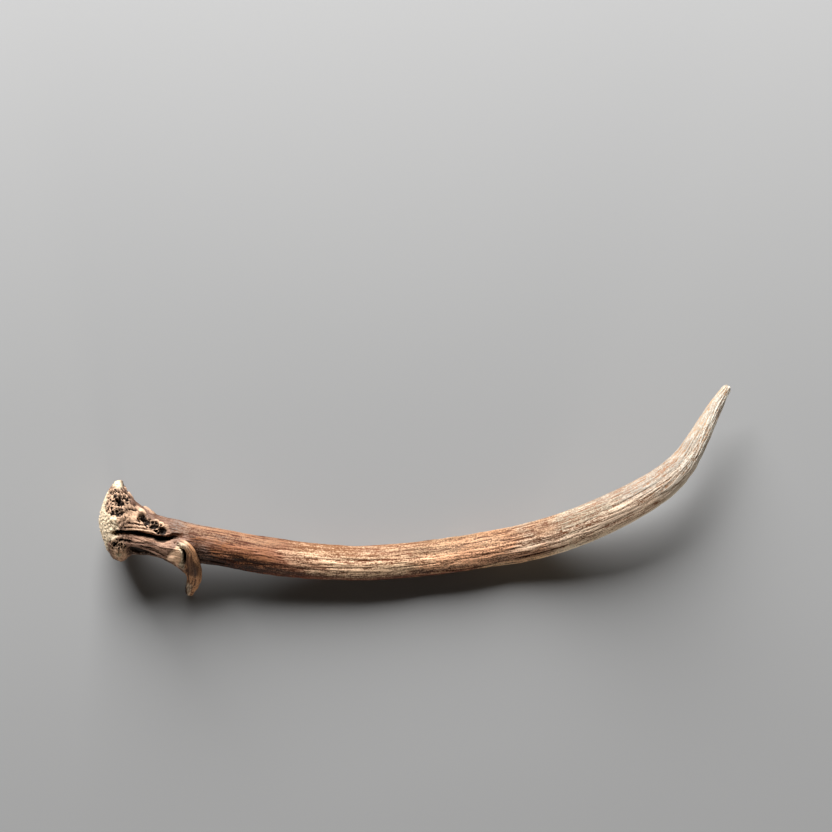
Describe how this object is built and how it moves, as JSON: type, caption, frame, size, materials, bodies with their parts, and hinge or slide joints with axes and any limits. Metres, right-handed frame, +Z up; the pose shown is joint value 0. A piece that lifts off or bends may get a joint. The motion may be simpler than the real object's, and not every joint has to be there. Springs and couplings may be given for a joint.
{
  "type": "deer antler",
  "caption": "Shed deer antler lying on its side: knobbed burr with a pale seal, hooked brow tine, ridged curving beam and a smooth tapered tip.",
  "frame": {"origin": "middle of the outline seen from above, on the surface it lies on", "axes": "+X from the burr to the tip, +Y to the side that the tip turns to, +Z up"},
  "size_m": [0.4484, 0.1512, 0.0582],
  "materials": {
    "beam_bone": "matt ridged antler bone, reddish brown by the burr, paler and polished towards the tip",
    "tine_bone": "matt antler bone, olive tan sides with a dark brown streak"
  },
  "bodies": {
    "root": {"main_beam": "beam_bone", "brow_tine": "tine_bone"}
  },
  "joints": []
}
